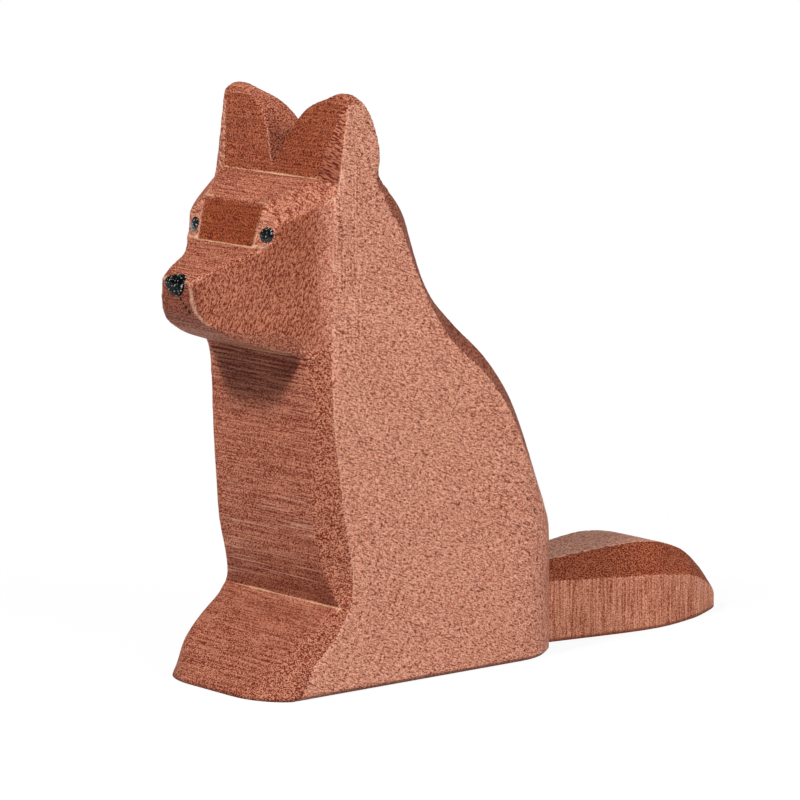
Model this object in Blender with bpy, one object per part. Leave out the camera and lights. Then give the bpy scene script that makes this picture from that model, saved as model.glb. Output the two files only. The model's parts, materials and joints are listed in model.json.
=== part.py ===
"""A sitting dog carved from one board, with a tail block doweled and glued on behind.

Metres. The dog faces -Y, its left side is +X, and it stands on z = 0.
"""
import bpy
import bmesh
from math import cos, pi, radians, sin, tan
from mathutils import Matrix, Vector

# Overall sizes of the body
BOARD = 0.0280          # thickness of the board
EAR_TOP = 0.0842        # height of the ear tips
NOSE_Y = -0.0339        # front of the muzzle
TOE_Y = -0.0282         # front of the foot
RUMP_Y = 0.0288         # rear face, where the tail is glued on
SEAT_GAP = 0.0003       # glue line, dowel fit and paint film

# Side profile, as (y, z): chest, foot and jaw
TOE_EDGE = 0.0006
INSTEP = (-0.0208, 0.0081)
CREASE = (-0.0151, 0.0120)
BREAST_LOW = (-0.0182, 0.0245)
BREAST = (-0.0190, 0.0410)
THROAT = (-0.0199, 0.0478)
CHIN = (-0.0304, 0.0517)
LIP = (-0.0329, 0.0539)
NOSE_LOW = (-0.0336, 0.0560)

# Side profile: muzzle, forehead and ears
NOSE_TOP = 0.0588
BROW = (-0.02507, 0.06316)
FOREHEAD = (-0.02314, 0.06926)
EAR_BASE = (-0.01708, 0.07245)
EAR_LEAN = 0.235        # backward run of the ear front per height
EAR_TIP_Y = -0.0133
EAR_BACK_HIGH = (-0.0114, 0.0828)
EAR_BACK = (-0.0089, 0.0777)

# Side profile: nape, back and rump
NAPE = (-0.0079, 0.0720)
RUFF = (-0.0023, 0.0674)
NECK = (-0.0011, 0.0615)
WITHERS = (0.0005, 0.0562)
BACK_HIGH = (0.0068, 0.0506)
BACK = (0.0144, 0.0431)
LOIN = (0.0195, 0.0345)
RUMP_HIGH = (0.0239, 0.0240)
RUMP_LOW = (0.0274, 0.0145)
TAIL_SEAT = 0.0090      # height of the flat rear face

# Rounding of the body in plan, and at the base
RUMP_ROUND = 0.0105
TOE_ROUND_X = 0.0090
TOE_ROUND_Y = 0.0064
TOE_RAKE = 0.5          # backward run of the toes per height
BASE_CHAMFER = 0.0006

# Outline of the flat that is left on each side, inside the edge chamfers
CHAMFER_REACH = 0.0045
FLAT_TOE = (-0.0254, 0.0002)
FLAT_INSTEP = (-0.0145, 0.0112)
FLAT_CREASE = (-0.0135, 0.0146)
FLAT_BREAST = (-0.0150, 0.0247)
FLAT_CHEST = (-0.0168, 0.0380)
FLAT_THROAT = (-0.01745, 0.0495)
FLAT_NAPE = (-0.0077, 0.0732)
FLAT_NECK = (-0.0042, 0.0639)
FLAT_WITHERS = (-0.0005, 0.0559)
FLAT_SHOULDER = (0.0043, 0.0486)
FLAT_BACK = (0.0118, 0.0420)
FLAT_LOIN = (0.0175, 0.0337)
FLAT_RUMP = (0.0219, 0.0227)
FLAT_REAR = (0.0240, 0.0100)

# Knife cuts on the head
NOSE_HALF = 0.0032      # half-width of the muzzle's front
CHEEK_TOP = (-0.0162, 0.0704)
CHEEK_LOW = (-0.0175, 0.0497)
JAW_REAR = (0.0118, -0.0209, 0.0509)
JAW_FRONT = (0.0062, -0.0296, 0.0521)
JAW_SLOPE = 25.0        # lean of the jaw chamfer from upright, degrees
BROW_HALF = 0.0064      # half-width of the forehead
EYE_FACET = 16.0        # turn of the eye facet from facing ahead, degrees
EAR_HALF = 0.0104       # half-width at which the ears' outer facets start
EAR_FACET = 19.5        # turn of those facets from facing ahead, degrees
EAR_SPREAD = 0.27       # outward run of the facets' inner edges per height
EAR_CORNER = (-0.0162, 0.0703)
CUT_APART = 0.0003      # how far apart neighbouring cuts stay where they meet at a corner

# Notch between the ears, as (x, z) on its left wall
NOTCH_LOW = 0.0736
NOTCH_WALL = (0.0047, 0.0812)
NOTCH_SHOULDER = (0.0089, 0.0833)
NOTCH_TIP = (0.0123, 0.0842)
NOTCH_OUTER = (0.0143, 0.0826)

# Tail: sections as (distance from its root, half-width, height, height of the upright sides)
TAIL_ROOT = (0.0, 0.0060, 0.0116, 0.0092)
TAIL_FULL = (0.0180, 0.0088, 0.0130, 0.0083)
TAIL_TAPER = (0.0280, 0.0073, 0.0108, 0.0069)
TAIL_SLIM = (0.0339, 0.0048, 0.0071, 0.0047)
TAIL_END = (0.0374, 0.0027, 0.0034, 0.0025)
TAIL_TIP = (0.0388, 0.0010, 0.0010, 0.0008)
TAIL_CHAMFER = 0.0029
TAIL_RINGS = 22

# Dowel
DOWEL_DIAMETER = 0.0050
DOWEL_LENGTH = 0.0220
DOWEL_HEIGHT = 0.0058

# Paint
EYE_DIAMETER = 0.0022
EYE_HEIGHT = 0.0650
EYE_REACH = 0.0079      # distance of the eye from the middle
PAINT = 0.0004
NOSE_WIDTH = 0.0047
NOSE_WRAP = 0.0031      # extent of the dab across the muzzle's edge
NOSE_DROP = 0.0003      # how far below the edge the dab is centred
MOUTH_START = (0.0011, 0.0562)
MOUTH_END = (0.0024, 0.0545)
MOUTH_WIDTH = 0.0004

HALF = BOARD / 2
SIDE_VIEW = Matrix(((0, 0, 1, 0), (1, 0, 0, 0), (0, 1, 0, 0), (0, 0, 0, 1)))
FRONT_VIEW = Matrix(((1, 0, 0, 0), (0, 0, -1, 0), (0, 1, 0, 0), (0, 0, 0, 1)))
SMOOTH, CORNER = 'AUTO', 'VECTOR'

for old in list(bpy.data.objects):
    bpy.data.objects.remove(old, do_unlink=True)


def collection(name):
    made = bpy.data.collections.new(name)
    bpy.context.scene.collection.children.link(made)
    return made


parts = collection("sitting_dog")
cutters = collection("cutters")
head_cuts = collection("head_cuts")


def material(name, colour, roughness, coat=0.0):
    made = bpy.data.materials.new(name)
    made.use_nodes = True
    shader = made.node_tree.nodes["Principled BSDF"]
    shader.inputs["Base Color"].default_value = (*colour, 1)
    shader.inputs["Roughness"].default_value = roughness
    shader.inputs["Metallic"].default_value = 0.0
    shader.inputs["Coat Weight"].default_value = coat
    made.diffuse_color = (*colour, 1)
    return made


stained_wood = material("stained_wood", (0.37, 0.13, 0.065), 0.55)
tail_wood = material("tail_wood", (0.36, 0.12, 0.06), 0.55)
bare_wood = material("bare_wood", (0.62, 0.45, 0.28), 0.7)
black_paint = material("black_paint", (0.006, 0.007, 0.008), 0.12, 1.0)


def part(name, mesh, finish):
    made = bpy.data.objects.new(name, mesh)
    made.data.materials.clear()
    made.data.materials.append(finish)
    parts.objects.link(made)
    return made


def cutter(name, mesh, home):
    made = bpy.data.objects.new(name, mesh)
    made.hide_render = True
    made.display_type = 'WIRE'
    home.objects.link(made)
    return made


def from_bmesh(name, bm):
    bmesh.ops.recalc_face_normals(bm, faces=bm.faces[:])
    mesh = bpy.data.meshes.new(name)
    bm.to_mesh(mesh)
    bm.free()
    mesh.shade_flat()
    return mesh


def outline(name, knots, view, depth, bevel=0.0, kind='BEZIER', steps=5):
    """A closed flat outline as a welded solid mesh, its knots given as (u, v, type)."""
    curve = bpy.data.curves.new(name, 'CURVE')
    curve.dimensions = '2D'
    curve.fill_mode = 'BOTH'
    curve.resolution_u = steps
    curve.extrude = depth / 2 - bevel
    curve.bevel_depth = bevel
    curve.bevel_resolution = 0
    spline = curve.splines.new(kind)
    spline.use_cyclic_u = True
    if kind == 'BEZIER':
        spline.bezier_points.add(len(knots) - 1)
        for point, (u, v, turn) in zip(spline.bezier_points, knots):
            point.co = (u, v, 0)
            point.handle_left_type = point.handle_right_type = turn
    else:
        spline.points.add(len(knots) - 1)
        for point, (u, v) in zip(spline.points, knots):
            point.co = (u, v, 0, 1)
    flat = bpy.data.objects.new(name, curve)
    cutters.objects.link(flat)
    bpy.context.view_layer.update()
    graph = bpy.context.evaluated_depsgraph_get()
    mesh = bpy.data.meshes.new_from_object(flat.evaluated_get(graph), depsgraph=graph)
    bpy.data.objects.remove(flat)
    bpy.data.curves.remove(curve)
    bm = bmesh.new()
    bm.from_mesh(mesh)
    bpy.data.meshes.remove(mesh)
    bmesh.ops.remove_doubles(bm, verts=bm.verts[:], dist=1e-6)
    bmesh.ops.dissolve_limit(bm, angle_limit=radians(0.02), verts=bm.verts[:], edges=bm.edges[:])
    bmesh.ops.transform(bm, matrix=view, verts=bm.verts[:])
    return from_bmesh(name, bm)


def wedge(name, planes, home, middle=(0, -0.024, 0.062), reach=0.060):
    """A convex cutter: the space behind every (point, outward normal) plane."""
    bm = bmesh.new()
    bmesh.ops.create_cube(bm, size=reach, matrix=Matrix.Translation(middle))
    for point, normal in planes:
        everything = bm.verts[:] + bm.edges[:] + bm.faces[:]
        cut = bmesh.ops.bisect_plane(bm, geom=everything, plane_co=point, plane_no=normal,
                                     clear_outer=True)
        rim = [item for item in cut["geom_cut"] if isinstance(item, bmesh.types.BMEdge)]
        bmesh.ops.contextual_create(bm, geom=rim)
    return cutter(name, from_bmesh(name, bm), home)


def facing(point, across, along, look):
    """The plane through a point and two directions, turned to look along the third."""
    normal = Vector(across).cross(Vector(along)).normalized()
    return Vector(point), normal if normal.dot(Vector(look)) > 0 else -normal


def through(a, b, c, look):
    return facing(a, Vector(b) - Vector(a), Vector(c) - Vector(a), look)


def turned(plane):
    """The other side of a plane, so that a cutter fills the space outside it."""
    return plane[0], -plane[1]


def mirrored(plane):
    return tuple(Vector((-v.x, v.y, v.z)) for v in plane)


def both_sides(name, planes, **options):
    wedge(name + "_left", planes, head_cuts, **options)
    wedge(name + "_right", [mirrored(plane) for plane in planes], head_cuts, **options)


def boolean(target, name, operation, other):
    step = target.modifiers.new(name, 'BOOLEAN')
    step.operation = operation
    step.solver = 'EXACT'
    if isinstance(other, bpy.types.Collection):
        step.operand_type = 'COLLECTION'
        step.collection = other
    else:
        step.object = other
    return step


# Block sawn from the board, its rear edges rounded in plan
def plan_corner(centre_x, centre_y, radius_x, radius_y, start, count=10):
    for i in range(count + 1):
        angle = radians(start + 90 * i / count)
        yield centre_x + radius_x * cos(angle), centre_y + radius_y * sin(angle)


OVER = 0.004            # how far outlines that trim the block run past it
round_y = RUMP_Y - RUMP_ROUND
plan = [*plan_corner(HALF - RUMP_ROUND, round_y, RUMP_ROUND, RUMP_ROUND, 0),
        *plan_corner(RUMP_ROUND - HALF, round_y, RUMP_ROUND, RUMP_ROUND, 90),
        (-HALF, NOSE_Y - OVER), (HALF, NOSE_Y - OVER)]
block_height = EAR_TOP + OVER
block = outline("body", plan, Matrix.Translation((0, 0, block_height / 2)), block_height, kind='POLY')
bm = bmesh.new()
bm.from_mesh(block)
base_rim = [edge for edge in bm.edges
            if max(v.co.z for v in edge.verts) < OVER and edge.calc_face_angle() > 1]
bmesh.ops.bevel(bm, geom=base_rim, offset=BASE_CHAMFER, offset_type='OFFSET', affect='EDGES',
                segments=1, profile=0.5, material=-1)
bm.to_mesh(block)
bm.free()
body = part("body", block, stained_wood)

# Band-sawn side profile
ear_front_top = EAR_BASE[0] + EAR_LEAN * (EAR_BACK_HIGH[1] - EAR_BASE[1])
profile = [(RUMP_Y + OVER, -OVER, CORNER), (TOE_Y, -OVER, CORNER), (TOE_Y, TOE_EDGE, CORNER),
           (*INSTEP, SMOOTH), (*CREASE, CORNER), (*BREAST_LOW, SMOOTH), (*BREAST, SMOOTH),
           (*THROAT, CORNER), (*CHIN, SMOOTH), (*LIP, SMOOTH), (*NOSE_LOW, CORNER),
           (NOSE_Y, NOSE_TOP, CORNER), (*BROW, CORNER), (*FOREHEAD, CORNER), (*EAR_BASE, CORNER),
           (ear_front_top, EAR_BACK_HIGH[1], CORNER), (EAR_TIP_Y, EAR_TOP, SMOOTH),
           (*EAR_BACK_HIGH, SMOOTH), (*EAR_BACK, SMOOTH), (*NAPE, SMOOTH), (*RUFF, SMOOTH),
           (*NECK, SMOOTH), (*WITHERS, SMOOTH), (*BACK_HIGH, SMOOTH), (*BACK, SMOOTH),
           (*LOIN, SMOOTH), (*RUMP_HIGH, SMOOTH), (*RUMP_LOW, SMOOTH), (RUMP_Y, TAIL_SEAT, CORNER),
           (RUMP_Y + OVER, TAIL_SEAT, CORNER)]
sawn = cutter("sawn_profile", outline("sawn_profile", profile, SIDE_VIEW, BOARD + 2 * OVER), cutters)
boolean(body, "sawn profile", 'INTERSECT', sawn)

# Chamfers along the chest, foot and back, which stop at the flat of each side
flat = [(TOE_Y - 2 * OVER, -2 * OVER, CORNER), (*FLAT_TOE, CORNER), (*FLAT_INSTEP, SMOOTH),
        (*FLAT_CREASE, SMOOTH), (*FLAT_BREAST, SMOOTH), (*FLAT_CHEST, CORNER), (*FLAT_THROAT, CORNER),
        (NOSE_Y - 4 * OVER, FLAT_THROAT[1], CORNER), (NOSE_Y - 4 * OVER, EAR_TOP + 4 * OVER, CORNER),
        (FLAT_NECK[0], EAR_TOP + 4 * OVER, CORNER), (*FLAT_NAPE, CORNER), (*FLAT_NECK, SMOOTH),
        (*FLAT_WITHERS, SMOOTH), (*FLAT_SHOULDER, SMOOTH), (*FLAT_BACK, SMOOTH), (*FLAT_LOIN, SMOOTH),
        (*FLAT_RUMP, SMOOTH), (*FLAT_REAR, SMOOTH), (RUMP_Y, -2 * OVER, CORNER)]
edges = cutter("edge_chamfers", outline("edge_chamfers", flat, SIDE_VIEW, BOARD, CHAMFER_REACH), cutters)
boolean(body, "edge chamfers", 'INTERSECT', edges)

# Toes rounded in plan, raked back with height
toe_y = TOE_Y + TOE_ROUND_Y
toes = [*plan_corner(TOE_ROUND_X - HALF, toe_y, TOE_ROUND_X, TOE_ROUND_Y, 180),
        *plan_corner(HALF - TOE_ROUND_X, toe_y, TOE_ROUND_X, TOE_ROUND_Y, 270),
        (HALF + OVER, toe_y), (HALF + OVER, NOSE_Y - 2 * OVER),
        (-HALF - OVER, NOSE_Y - 2 * OVER), (-HALF - OVER, toe_y)]
rake = Matrix(((1, 0, 0, 0), (0, 1, TOE_RAKE, 0), (0, 0, 1, 0), (0, 0, 0, 1)))
bay = outline("toe_bay", toes, rake, 2 * CREASE[1], kind='POLY')
cutter("toe_bay", bay, head_cuts)

# Knife cuts: cheeks, jaw, eye facets, ears' outer facets with the skull beside them
cheek = through((HALF, *CHEEK_TOP), (HALF, *CHEEK_LOW), (NOSE_HALF, NOSE_Y, NOSE_TOP), (1, -1, 0))
both_sides("cheek", [turned(cheek)])

jaw_edge = Vector(JAW_FRONT) - Vector(JAW_REAR)
jaw_down = Vector((-tan(radians(JAW_SLOPE)), 0, -1))
jaw = facing(JAW_REAR, jaw_edge, jaw_down, (1, -1, 0))
neck = through((0, *THROAT), (1, *THROAT), (0, *FLAT_THROAT), (0, 0, -1))
both_sides("jaw", [turned(jaw), (neck[0] - CUT_APART * neck[1], neck[1])])

brow = (BROW_HALF, *BROW)
forehead = (BROW_HALF, *FOREHEAD)
eye_facet = facing(brow, Vector(forehead) - Vector(brow), (1, tan(radians(EYE_FACET)), 0), (0, -1, 0))
muzzle_top = through((0, NOSE_Y, NOSE_TOP), (1, NOSE_Y, NOSE_TOP), (0, *BROW), (0, 0, 1))
eye_floor = (muzzle_top[0] + CUT_APART / 2 * muzzle_top[1], -muzzle_top[1])
both_sides("eye_facet", [turned(eye_facet), eye_floor])

ear_foot = (EAR_HALF, *EAR_BASE)
ear_side = facing(ear_foot, (1, tan(radians(EAR_FACET)), 0), (EAR_SPREAD, EAR_LEAN, 1), (0, -1, 0))
apart = Vector((CUT_APART, 0, 0))
skull_side = through(apart + Vector(ear_foot), apart + Vector(forehead), (HALF, *EAR_CORNER), (0, 0, 1))
both_sides("ear_facet", [turned(ear_side), turned(skull_side)])

# Notch between the ears
wall = [(*NOTCH_WALL, SMOOTH), (*NOTCH_SHOULDER, SMOOTH), (*NOTCH_TIP, SMOOTH), (*NOTCH_OUTER, CORNER),
        (HALF + OVER, NOTCH_OUTER[1], CORNER), (HALF + OVER, EAR_TOP + 2 * OVER, CORNER)]
notch = [(0, NOTCH_LOW, CORNER), *wall, *((-x, z, turn) for x, z, turn in reversed(wall))]
ear_depth = 4 * (EAR_BACK[0] - EAR_BASE[0])
notch_view = Matrix.Translation((0, EAR_TIP_Y, 0)) @ FRONT_VIEW
cutter("ear_notch", outline("ear_notch", notch, notch_view, ear_depth), head_cuts)
boolean(body, "carved cuts", 'DIFFERENCE', head_cuts)


# Tail lofted through hexagonal sections
def along(stations, t):
    """A smooth curve through the stations, at t from 0 to 1."""
    position = t * (len(stations) - 1)
    i = min(int(position), len(stations) - 2)
    f = position - i
    a, b = Vector(stations[i]), Vector(stations[i + 1])
    before = Vector(stations[i - 1]) if i else a - (b - a)
    after = Vector(stations[i + 2]) if i + 2 < len(stations) else b + (b - a)
    return 0.5 * (2 * a + (b - before) * f + (2 * before - 5 * a + 4 * b - after) * f ** 2
                  + (3 * a - before - 3 * b + after) * f ** 3)


def tail_section(distance, half, height, side):
    chamfer = min(TAIL_CHAMFER, 0.45 * half)
    corners = [(half, 0), (half, side), (half - chamfer, height)]
    ring = corners + [(-x, z) for x, z in reversed(corners)]
    return [Vector((x, distance, z)) for x, z in ring]


stations = [TAIL_ROOT, TAIL_FULL, TAIL_TAPER, TAIL_SLIM, TAIL_END, TAIL_TIP]
bm = bmesh.new()
rings = []
for i in range(TAIL_RINGS):
    corners = [bm.verts.new(v) for v in tail_section(*along(stations, i / (TAIL_RINGS - 1)))]
    rings.append([bm.edges.new((corners[k - 1], corners[k])) for k in range(len(corners))])
for ring, following in zip(rings, rings[1:]):
    bmesh.ops.bridge_loops(bm, edges=ring + following)
bmesh.ops.contextual_create(bm, geom=rings[0])
bmesh.ops.contextual_create(bm, geom=rings[-1])
tail = part("tail", from_bmesh("tail", bm), tail_wood)
tail.location = (0, RUMP_Y + SEAT_GAP, 0)


# Dowel between body and tail, and its bore in both
def rod(name, radius, length):
    bm = bmesh.new()
    lying = Matrix.Rotation(pi / 2, 4, 'X')
    bmesh.ops.create_cone(bm, cap_ends=True, segments=32, radius1=radius, radius2=radius, depth=length,
                          matrix=lying)
    return from_bmesh(name, bm)


dowel_place = (0, RUMP_Y + SEAT_GAP / 2, DOWEL_HEIGHT)
dowel = part("tail_dowel", rod("tail_dowel", DOWEL_DIAMETER / 2, DOWEL_LENGTH), bare_wood)
dowel.location = dowel_place
bore = cutter("dowel_bore", rod("dowel_bore", DOWEL_DIAMETER / 2 + SEAT_GAP,
                                DOWEL_LENGTH + 2 * SEAT_GAP), cutters)
bore.location = dowel_place
boolean(body, "dowel bore", 'DIFFERENCE', bore)
boolean(tail, "dowel bore", 'DIFFERENCE', bore)


# Painted eyes, domed on the eye facets
def dome(name, radius, height):
    bm = bmesh.new()
    bmesh.ops.create_uvsphere(bm, u_segments=24, v_segments=12, radius=radius)
    everything = bm.verts[:] + bm.edges[:] + bm.faces[:]
    cut = bmesh.ops.bisect_plane(bm, geom=everything, plane_co=(0, 0, 0), plane_no=(0, 0, -1),
                                 clear_outer=True)
    rim = [item for item in cut["geom_cut"] if isinstance(item, bmesh.types.BMEdge)]
    bmesh.ops.contextual_create(bm, geom=rim)
    bmesh.ops.scale(bm, vec=(1, 1, height / radius), verts=bm.verts[:])
    return from_bmesh(name, bm)


point, normal = eye_facet
rest = EYE_REACH * normal.x + EYE_HEIGHT * normal.z - point.dot(normal)
eye_spot = Vector((EYE_REACH, -rest / normal.y, EYE_HEIGHT)) + SEAT_GAP * normal
eye_turn = normal.to_track_quat('Z', 'Y')
left_eye = part("left_eye", dome("left_eye", EYE_DIAMETER / 2, PAINT), black_paint)
left_eye.location = eye_spot
left_eye.rotation_euler = eye_turn.to_euler()
right_eye = part("right_eye", dome("right_eye", EYE_DIAMETER / 2, PAINT), black_paint)
right_eye.location = (-eye_spot.x, eye_spot.y, eye_spot.z)
right_eye.rotation_euler = Vector((-normal.x, normal.y, normal.z)).to_track_quat('Z', 'Y').to_euler()

# Painted nose, wrapped over the top front edge of the muzzle
nose_front = through((0, NOSE_Y, NOSE_TOP), (1, NOSE_Y, NOSE_TOP), (0, *NOSE_LOW), (0, -1, 0))
out = (nose_front[1] + muzzle_top[1]).normalized()
across = Vector((1, 0, 0))
down = across.cross(out)
lie = Matrix((across, down, -out)).transposed()


def muzzle_skin(name, lift):
    """The muzzle's two front faces as one wedge, lifted off the wood."""
    return wedge(name, [(plane[0] + lift * plane[1], plane[1]) for plane in (nose_front, muzzle_top)], cutters)


bm = bmesh.new()
bmesh.ops.create_cone(bm, cap_ends=True, segments=32, radius1=0.5, radius2=0.5, depth=1)
bmesh.ops.scale(bm, vec=(NOSE_WIDTH, NOSE_WRAP, 2 * NOSE_WRAP), verts=bm.verts[:])
bmesh.ops.rotate(bm, matrix=lie, verts=bm.verts[:])
nose = part("nose", from_bmesh("nose", bm), black_paint)
nose.location = Vector((0, NOSE_Y, NOSE_TOP)) + NOSE_DROP * down
boolean(nose, "paint surface", 'INTERSECT', muzzle_skin("paint_surface", SEAT_GAP + PAINT))
boolean(nose, "paint seat", 'DIFFERENCE', muzzle_skin("paint_seat", SEAT_GAP))

# Painted stroke of the mouth on the muzzle's front
def on_front(x, z):
    drop = (z - nose_front[0].z) * nose_front[1].z / nose_front[1].y
    return Vector((x, nose_front[0].y - drop, z))


start, end = on_front(*MOUTH_START), on_front(*MOUTH_END)
bm = bmesh.new()
bmesh.ops.create_cube(bm, size=1, matrix=Matrix.Diagonal((MOUTH_WIDTH, (end - start).length, PAINT, 1)))
mouth_line = part("mouth_line", from_bmesh("mouth_line", bm), black_paint)
mouth_turn = Matrix(((end - start).normalized().cross(nose_front[1]), (end - start).normalized(),
                     nose_front[1])).transposed()
mouth_line.location = (start + end) / 2 + (SEAT_GAP + PAINT / 2) * nose_front[1]
mouth_line.rotation_euler = mouth_turn.to_euler()
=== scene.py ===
# %% [markdown]
# # A carved dog, sitting
#
# This lesson dresses a small wooden dog. The packed model gives every piece its exact size and
# place: a body sawn from a board, a tail doweled on behind, and a few dabs of black paint. What it
# lacks is the hand of the maker: edges that sandpaper has softened, flecks and pores in the wood,
# saw marks, knife strokes, and stain that has sunk deep into the end grain.

# %% Load the packed model
import json
from math import cos, exp, pi, radians, sin

import bmesh
import bpy
from mathutils import Matrix, Vector, noise
from mathutils.bvhtree import BVHTree
from mathutils.kdtree import KDTree

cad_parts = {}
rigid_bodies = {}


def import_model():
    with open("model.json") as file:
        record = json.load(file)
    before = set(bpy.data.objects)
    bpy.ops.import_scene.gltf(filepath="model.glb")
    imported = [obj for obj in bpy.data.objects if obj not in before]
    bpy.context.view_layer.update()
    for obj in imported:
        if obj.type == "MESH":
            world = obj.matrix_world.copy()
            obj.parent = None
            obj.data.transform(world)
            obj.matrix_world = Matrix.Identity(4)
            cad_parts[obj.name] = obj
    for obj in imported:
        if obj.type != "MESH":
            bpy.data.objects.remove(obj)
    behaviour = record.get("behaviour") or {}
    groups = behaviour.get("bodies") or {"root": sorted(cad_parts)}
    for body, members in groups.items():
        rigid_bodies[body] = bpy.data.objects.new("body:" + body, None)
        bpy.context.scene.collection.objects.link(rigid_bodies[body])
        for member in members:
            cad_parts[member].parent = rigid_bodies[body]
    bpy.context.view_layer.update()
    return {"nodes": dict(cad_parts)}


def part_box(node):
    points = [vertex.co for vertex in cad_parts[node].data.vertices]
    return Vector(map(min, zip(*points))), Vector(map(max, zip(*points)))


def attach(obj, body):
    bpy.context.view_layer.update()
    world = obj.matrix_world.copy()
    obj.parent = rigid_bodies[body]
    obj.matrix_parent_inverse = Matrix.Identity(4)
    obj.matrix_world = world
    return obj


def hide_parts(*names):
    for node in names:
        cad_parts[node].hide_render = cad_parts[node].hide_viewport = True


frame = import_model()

MM = 0.001
scene = bpy.context.scene
scene.view_settings.view_transform = 'Standard'
print("nodes:", ", ".join(sorted(frame["nodes"])))

# %% [markdown]
# ## The camera
#
# A long lens stands well back, to the front left of the dog and a little above it, so that upright
# edges stay almost parallel. The camera's own axes are worked out from two angles, and set as the
# columns of its matrix: a camera looks along its own minus Z, so its third column points back.

# %% Camera
TURN, RISE = radians(50.437), radians(9.116)
STAND = Vector((0.51725, -0.42084, 0.14551))
LENS, SENSOR = 212.04, 36.0     # in mm

back = Vector((sin(TURN) * cos(RISE), -cos(TURN) * cos(RISE), sin(RISE)))
right = Vector((cos(TURN), sin(TURN), 0))
camera = bpy.data.objects.new("camera", bpy.data.cameras.new("camera"))
scene.collection.objects.link(camera)
facing = Matrix((right, back.cross(right), back)).transposed().to_4x4()
camera.matrix_world = Matrix.Translation(STAND) @ facing
camera.data.sensor_width = SENSOR
camera.data.lens = LENS
camera.data.clip_start, camera.data.clip_end = 0.01, 20.0
scene.camera = camera
print("camera stands", round(STAND.length, 3), "m from the dog")

# %% [markdown]
# ## Shader sums in plain Python
#
# A finish is a sum of many small patterns. Drawn as nodes by hand it soon becomes a tangle, so one
# small class stands for a socket and takes part in ordinary expressions: adding two of them adds a
# Math node. The reflected forms let a plain number stand on the left. Every other kind of node comes
# from one method, which sets the node's own settings first and then its sockets.

# %% A class for shader sums
class Tone:
    """A socket of a node tree that can be used like a number."""

    def __init__(self, tree, socket=None):
        self.tree, self.socket = tree, socket

    def node(self, kind, settings=(), values=(), output=0):
        made = self.tree.nodes.new("ShaderNode" + kind)
        for name, value in dict(settings).items():
            setattr(made, name, value)
        for name, value in dict(values).items():
            if isinstance(value, Tone):
                self.tree.links.new(value.socket, made.inputs[name])
            else:
                made.inputs[name].default_value = value
        return Tone(self.tree, made.outputs[output] if made.outputs else None)

    def math(self, operation, first, second):
        return self.node("Math", {"operation": operation}, {0: first, 1: second})

    def __add__(self, other):
        return self.math('ADD', self, other)

    def __sub__(self, other):
        return self.math('SUBTRACT', self, other)

    def __rsub__(self, other):
        return self.math('SUBTRACT', other, self)

    def __mul__(self, other):
        return self.math('MULTIPLY', self, other)

    __radd__, __rmul__ = __add__, __mul__

    def ramp(self, low, high):
        """0 below low, 1 above high and a smooth rise between, or a fall where low is the larger."""
        return self.node("MapRange", {"interpolation_type": 'SMOOTHSTEP'},
                         {"Value": self, "From Min": low, "From Max": high})

    def mix(self, low, high):
        """A colour from low to high, as this value goes from 0 to 1."""
        return self.node("Mix", {"data_type": 'RGBA'}, {0: self, 6: low, 7: high}, output=2)

    def times(self, other):
        """This colour times another, channel by channel."""
        return self.node("VectorMath", {"operation": 'MULTIPLY'}, {0: self, 1: other})


print("expressions ready:", [name for name in vars(Tone) if not name.startswith("__")])

# %% [markdown]
# ## The studio
#
# The dog stands on a pale floor that reads as white. A floor lit hard enough to look white would
# wash out the wood, so the white comes from what the camera sees: for camera rays the floor mostly
# glows at a strength of one, and for light that bounces it stays a plain grey board. A little of the
# lit floor is left in the mix, so that the dog keeps its soft shadow.

# %% Floor and surroundings
FLOOR_WIDTH = 12.0
FLOOR_DROP = 0.02 * MM   # keeps the floor just clear of the base
FLOOR_GREY = (0.44, 0.42, 0.40, 1)
SHADOW_SHARE = 0.08
SHADOW_REACH = 0.22     # beyond this the floor is white alone
SHADOW_FULL = 0.3 * SHADOW_REACH   # within this the shadow keeps its whole share
SKY = (0.12, 0.12, 0.125, 1)
WHITE = (1, 1, 1, 1)


def seen(tone):
    """1 for rays from the camera, and for those that mirror or bend on their way."""
    path = tone.node("LightPath")
    names = ("Is Glossy Ray", "Is Transmission Ray")
    rays = [Tone(path.tree, path.socket.node.outputs[name]) for name in names]
    return path.math('MAXIMUM', path, path.math('MAXIMUM', *rays))


bm = bmesh.new()
bmesh.ops.create_grid(bm, x_segments=2, y_segments=2, size=FLOOR_WIDTH / 2,
                      matrix=Matrix.Translation((0, 0, -FLOOR_DROP)))
floor = bpy.data.objects.new("floor", bpy.data.meshes.new("floor"))
bm.to_mesh(floor.data)
bm.free()
scene.collection.objects.link(floor)

pale_floor = bpy.data.materials.new("pale_floor")
pale_floor.use_nodes = True
pale_floor.node_tree.nodes.clear()
start = Tone(pale_floor.node_tree)
board = start.node("BsdfDiffuse", values={"Color": seen(start).mix(FLOOR_GREY, WHITE)})
glow = start.node("Emission", values={"Color": WHITE, "Strength": 1.0})
spot = start.node("TexCoord", output="Object")
away = start.node("VectorMath", {"operation": 'LENGTH'}, {0: spot}, output="Value")
share = SHADOW_SHARE * away.ramp(SHADOW_REACH, SHADOW_FULL)
both = start.node("MixShader", values={0: seen(start) * (1 - share), 1: board, 2: glow})
start.node("OutputMaterial", values={"Surface": both})
floor.data.materials.append(pale_floor)

world = bpy.data.worlds.new("surroundings")
scene.world = world
world.use_nodes = True
world.node_tree.nodes.clear()
start = Tone(world.node_tree)
air = start.node("Background", values={"Color": start.node("LightPath").mix(SKY, WHITE)})
start.node("OutputWorld", values={"Surface": air})
print("floor", FLOOR_WIDTH, "m wide")

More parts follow.
